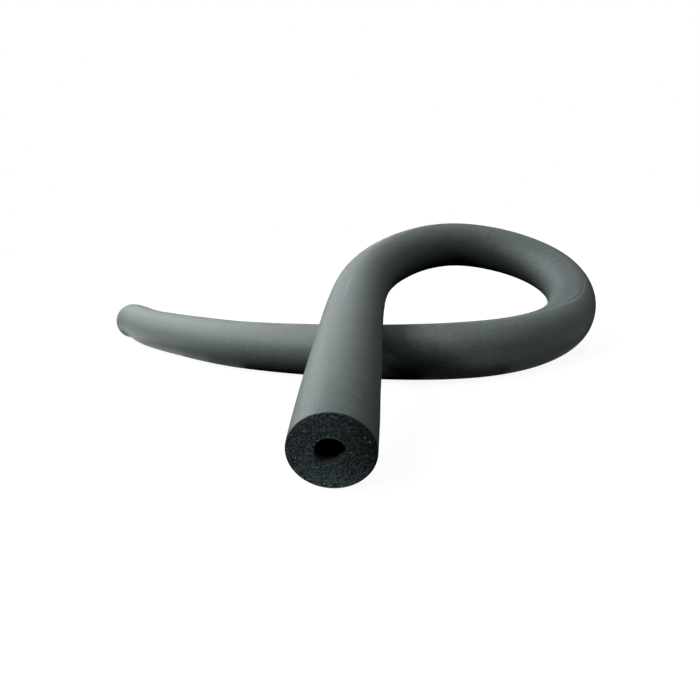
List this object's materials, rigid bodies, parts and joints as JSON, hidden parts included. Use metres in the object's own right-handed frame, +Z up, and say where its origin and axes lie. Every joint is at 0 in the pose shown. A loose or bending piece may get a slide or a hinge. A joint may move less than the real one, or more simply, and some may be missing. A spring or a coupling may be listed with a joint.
{
  "type": "pipe insulation lagging",
  "caption": "Thick-walled dark grey foam tube for insulating a pipe, lying in a rising loop that crosses over its own run, with plain square-cut ends.",
  "frame": {"origin": "middle of the bounding box, on the floor that the tube lies on", "axes": "+Z up; +Y away from the front cut end, along the tube's longest reach; +X to the right, towards the loop"},
  "size_m": [0.7144, 0.962, 0.1572],
  "materials": {
    "foam": "matt closed-cell foam with a fine smooth skin and a speckled cut face"
  },
  "bodies": {
    "root": {"lagging_tube": "foam"}
  },
  "joints": []
}
